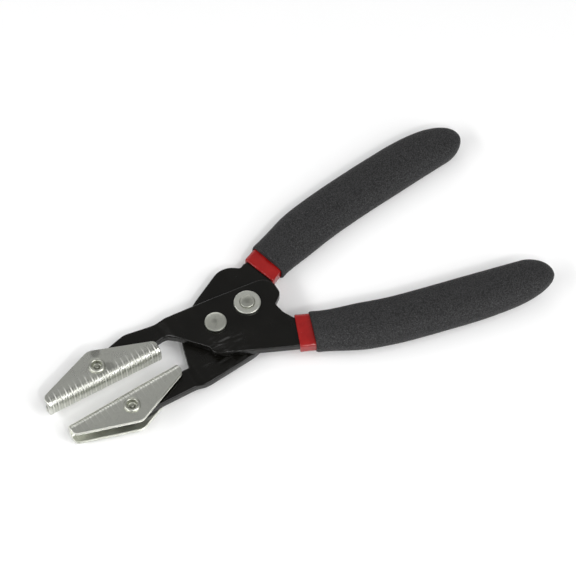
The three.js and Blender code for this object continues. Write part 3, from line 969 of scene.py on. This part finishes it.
# Darker spots on the rivets: the pivot head's and the guide boss's centres, and painted shade over the
# eyelets' hollows.
RIVET = plating("rivet_plating", base=(0.65, 0.66, 0.60), worn=(0.51, 0.52, 0.455), rough=(0.30, 0.46),
                grain=(6, 6, 1), dirt=0.45,
                dark_spots=((0, 0, 1.4), (*GUIDE, 1.9), (UP_X, UP_Y, 2.3), (LOW_X, LOW_Y, 2.3)))
# Painted shade on the washer in the crevice round the guide rivet's boss.
WASHER_PLATE = plating("washer_plating", base=(0.78, 0.79, 0.725), worn=(0.66, 0.67, 0.605),
                       rough=(0.32, 0.46), grain=(6, 6, 1), dirt=0.25, dark_spots=((*GUIDE, GUIDE_R - 0.2),))
VINYL = red_vinyl()
FOAM = black_foam()

# ---------------------------------------------------------------- assembly
PIVOT_HOLE = circle(PIVOT_R + CLEAR, 0, 0)
FRONT_HOLES = [PIVOT_HOLE, circle(GUIDE_R + CLEAR, *GUIDE), circle(EYELET_R + CLEAR, UP_X, UP_Y)]
BACK_HOLES = [PIVOT_HOLE, guide_slot(), circle(EYELET_R + CLEAR, LOW_X, LOW_Y)]
finish_mesh(build_lever(FRONT_CORNERS, FRONT_HOLES, 1, under=0.25, over=0.62),
            "lever_front", "front", ENAMEL, "front_lever")
finish_mesh(build_lever(BACK_CORNERS, BACK_HOLES, -1, under=0.5, over=0.55),
            "lever_back", "back", ENAMEL, "back_lever")
finish_mesh(build_pivot_rivet(), "rivet_pivot", "front", RIVET, "pivot_rivet")
finish_mesh(build_guide_rivet(), "rivet_guide", "front", RIVET, "guide_rivet")
finish_mesh(build_washer(PIVOT_R + CLEAR, 6.0, 0, 0, -HEAD_Z - WASHER),
            "washer_pivot_rear", "front", WASHER_PLATE, "pivot_washer_rear")
finish_mesh(build_washer(GUIDE_R + CLEAR, 5.9, *GUIDE, HEAD_Z),
            "washer_guide_front", "front", WASHER_PLATE, "guide_washer_front")
finish_mesh(build_washer(GUIDE_R + CLEAR, 6.2, *GUIDE, -HEAD_Z - WASHER),
            "washer_guide_rear", "front", WASHER_PLATE, "guide_washer_rear")
for which in ("upper", "lower"):
    body = which + "_jaw"
    finish_mesh(build_jaw(which), "channel_" + which, body, JAW_PLATE[which], "jaw_" + which,
                sharp=60, weighted=False)
    finish_mesh(build_eyelet(which), "eyelet_" + which, body, RIVET, "jaw_rivet_" + which)
    finish_mesh(build_spacer(which, 1), "ring_top_" + which, body, WASHER_PLATE,
                "spacer_top_" + which)
    finish_mesh(build_spacer(which, -1), "ring_bottom_" + which, body, WASHER_PLATE,
                "spacer_bottom_" + which)
for which in ("front", "back"):
    finish_mesh(build_liner(which), "sleeve_" + which, which, VINYL, "liner_" + which,
                weighted=False)
    finish_mesh(build_grip(which), "foam_" + which, which, FOAM, "grip_" + which,
                weighted=False)

# ---------------------------------------------------------------- floor, light and camera
bpy.ops.mesh.primitive_plane_add(size=6, location=(0, 0, cad_box[0][2] - 0.0001))
floor = bpy.context.object
floor.name = "floor"
floor.data.materials.append(pale_floor())

# Brightness of the surroundings (height, level), from the horizon to overhead.
SKY = ((0.0, 0.05), (0.12, 0.08), (0.4, 0.22), (0.8, 0.31), (1.0, 0.31))


def studio_world():
    world = bpy.data.worlds.new("studio")
    world.use_nodes = True
    sky = world.node_tree
    heading = sky.nodes.new("ShaderNodeTexCoord")
    split = sky.nodes.new("ShaderNodeSeparateXYZ")
    ramp = sky.nodes.new("ShaderNodeValToRGB")
    sky.links.new(heading.outputs["Generated"], split.inputs["Vector"])
    sky.links.new(split.outputs["Z"], ramp.inputs["Fac"])
    sky.links.new(ramp.outputs["Color"], sky.nodes["Background"].inputs["Color"])
    for k, (height, level) in enumerate(SKY):
        stop = ramp.color_ramp.elements[k] if k < 2 else ramp.color_ramp.elements.new(height)
        stop.position = height
        stop.color = (level, level, level, 1)
    return world


bpy.context.scene.world = studio_world()
bpy.context.scene.view_settings.view_transform = "Standard"


def area_light(name, place, size, power):
    """Softbox aimed at the tool: its place and its size (across, high) in metres, its power in watts."""
    lamp = bpy.data.lights.new(name, "AREA")
    lamp.shape = "RECTANGLE"
    lamp.size, lamp.size_y = size
    lamp.energy = power
    lamp_object = bpy.data.objects.new(name, lamp)
    lamp_object.location = place
    aim = Vector((-0.02, 0, 0)) - Vector(place)
    lamp_object.rotation_euler = aim.to_track_quat("-Z", "Y").to_euler()
    bpy.context.scene.collection.objects.link(lamp_object)


area_light("tall_front", (0.34, -0.80, 0.82), (0.62, 1.25), 10.5)
area_light("spark", (-0.17, -0.60, 0.70), (0.07, 0.07), 1.5)
area_light("back_strip", (0.35, 1.0, 0.60), (0.9, 0.5), 2.0)
area_light("left_strip", (-0.86, 0.06, 0.66), (1.15, 0.24), 6.5)

# The camera looks at LOOK_AT from one metre away.
LOOK_AT = Vector((0.004033, 0.008629, 0.007882))
AZIMUTH = math.radians(-31.0)
ELEVATION = math.radians(57.5)
away = Vector((math.cos(ELEVATION) * math.sin(AZIMUTH), -math.cos(ELEVATION) * math.cos(AZIMUTH),
               math.sin(ELEVATION)))
camera_data = bpy.data.cameras.new("camera")
camera_data.lens = 143.125
camera_data.sensor_width = 36
camera_data.clip_start = 0.01
camera = bpy.data.objects.new("camera", camera_data)
camera.location = LOOK_AT + away
camera.rotation_euler = (-away).to_track_quat("-Z", "Y").to_euler()
bpy.context.scene.collection.objects.link(camera)
bpy.context.scene.camera = camera
